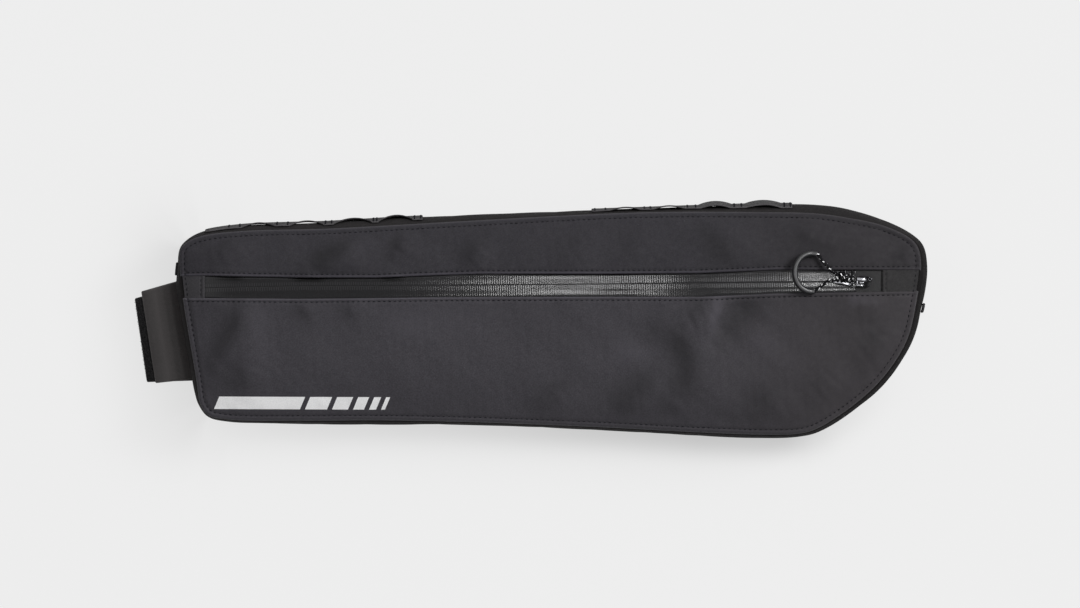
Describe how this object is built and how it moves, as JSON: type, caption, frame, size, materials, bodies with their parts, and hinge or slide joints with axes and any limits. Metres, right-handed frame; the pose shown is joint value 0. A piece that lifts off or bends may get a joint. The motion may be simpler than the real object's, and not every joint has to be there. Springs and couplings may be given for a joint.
{
  "type": "bicycle frame bag",
  "caption": "Long half-frame bicycle bag: tapered sewn pouch with a coated zipper, corded pull, daisy-chain ribbons and a folded seat-tube strap.",
  "frame": {"origin": "on the flat underside of the back panel, under the middle of the bag's outline", "axes": "+X along the bag towards its steering-head end, +Y towards the top tube, +Z from the back panel out through the zipped front face"},
  "size_m": [0.4938, 0.1474, 0.0638],
  "materials": {
    "front_cloth": "matt charcoal pack cloth with a fine weave",
    "gusset_cloth": "charcoal pack cloth with a slight sheen",
    "back_cloth": "matt charcoal pack cloth",
    "coated_zip": "satin coated zipper tape with fine ribs",
    "garage_cloth": "smooth dark cloth",
    "slider_metal": "polished gunmetal",
    "flecked_cord": "braided black cord with light reflective flecks",
    "pull_rubber": "smooth satin rubber",
    "ribbon_webbing": "ribbed woven ribbon",
    "strap_cloth": "smooth faced strap",
    "hook_loop": "dark hook-and-loop facing"
  },
  "bodies": {
    "root": {"gusset": "gusset_cloth", "binding_front": "gusset_cloth", "binding_back": "gusset_cloth", "back_panel": "back_cloth", "panel_front_upper": "front_cloth", "panel_front_lower": "front_cloth", "zip_tape_upper": "coated_zip", "zip_tape_lower": "coated_zip", "zip_garage": "garage_cloth", "zip_patch_left": "front_cloth", "zip_patch_right": "front_cloth", "zip_slider": "slider_metal", "zip_pull_tab": "slider_metal", "pull_cord": "flecked_cord", "pull_knot": "flecked_cord", "pull_tube": "pull_rubber", "daisy_strip_left": "ribbon_webbing", "daisy_strip_right": "ribbon_webbing", "strap_upper": "strap_cloth", "strap_lower": "hook_loop", "tab_left": "ribbon_webbing", "tab_right": "ribbon_webbing"}
  },
  "joints": []
}
